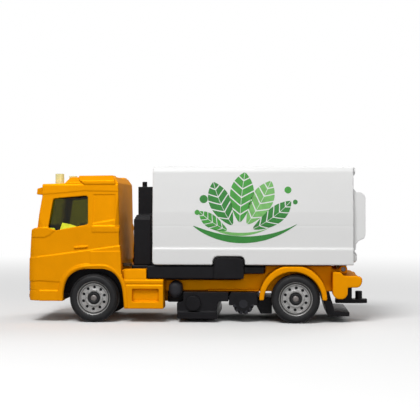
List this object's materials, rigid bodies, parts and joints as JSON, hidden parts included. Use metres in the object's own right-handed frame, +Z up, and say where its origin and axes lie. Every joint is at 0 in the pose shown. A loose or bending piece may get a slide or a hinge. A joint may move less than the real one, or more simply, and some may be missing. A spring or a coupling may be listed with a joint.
{
  "type": "toy street sweeper truck",
  "caption": "Small die-cast toy street sweeper with an orange cab and chassis, a white box container that tips at the rear, and wheels that roll on steel axles.",
  "frame": {"origin": "on the floor, under the centre of the toy's bounding box", "axes": "+X to the truck's left side, +Y to its rear, +Z up; the front faces -Y"},
  "size_m": [0.0274, 0.0804, 0.0366],
  "materials": {
    "orange_paint": "gloss enamel over die-cast zinc",
    "white_plastic": "satin moulded plastic",
    "black_plastic": "fine moulded texture",
    "dark_grey_plastic": "fine moulded texture",
    "yellow_glazing": "clear fluorescent yellow plastic",
    "clear_lens": "clear plastic",
    "steel": "plain drawn wire",
    "black_tyre": "hard moulded tyre plastic",
    "silver_rim": "silver-painted plastic"
  },
  "bodies": {
    "chassis": {"cab_shell": "orange_paint", "window_insert": "yellow_glazing", "cab_interior": "black_plastic", "front_grille": "black_plastic", "headlamp_left": "clear_lens", "headlamp_right": "clear_lens", "chassis_frame": "orange_paint", "body_subframe": "black_plastic", "intake_stack": "black_plastic", "container_hinge_pin": "steel", "rear_bumper": "orange_paint", "tow_hitch": "black_plastic", "rear_apron": "black_plastic", "suction_nozzle": "black_plastic", "nozzle_roller_left": "black_plastic", "nozzle_roller_right": "black_plastic", "sweeping_roller": "black_plastic", "roller_cover": "black_plastic", "step_box_left": "orange_paint", "step_box_right": "orange_paint", "tank_left": "dark_grey_plastic", "tank_right": "dark_grey_plastic", "rear_fender_left": "orange_paint", "rear_fender_right": "orange_paint"},
    "front_axle": {"front_axle": "steel", "front_tyre_left": "black_tyre", "front_rim_left": "silver_rim", "front_tyre_right": "black_tyre", "front_rim_right": "silver_rim"},
    "rear_axle": {"rear_axle": "steel", "rear_tyre_left": "black_tyre", "rear_rim_left": "silver_rim", "rear_tyre_right": "black_tyre", "rear_rim_right": "silver_rim"},
    "container": {"container_shell": "white_plastic", "rear_door": "white_plastic"}
  },
  "joints": [
    {"name": "front_wheels_spin", "type": "hinge", "parent": "chassis", "child": "front_axle", "pos_m": [0, -0.0246, 0.00568], "axis": [1, 0, 0], "continuous": true},
    {"name": "rear_wheels_spin", "type": "hinge", "parent": "chassis", "child": "rear_axle", "pos_m": [0, 0.0227, 0.00568], "axis": [1, 0, 0], "continuous": true},
    {"name": "container_tip", "type": "hinge", "parent": "chassis", "child": "container", "pos_m": [0, 0.034, 0.0124], "axis": [-1, 0, 0], "range_deg": [0, 45]}
  ]
}
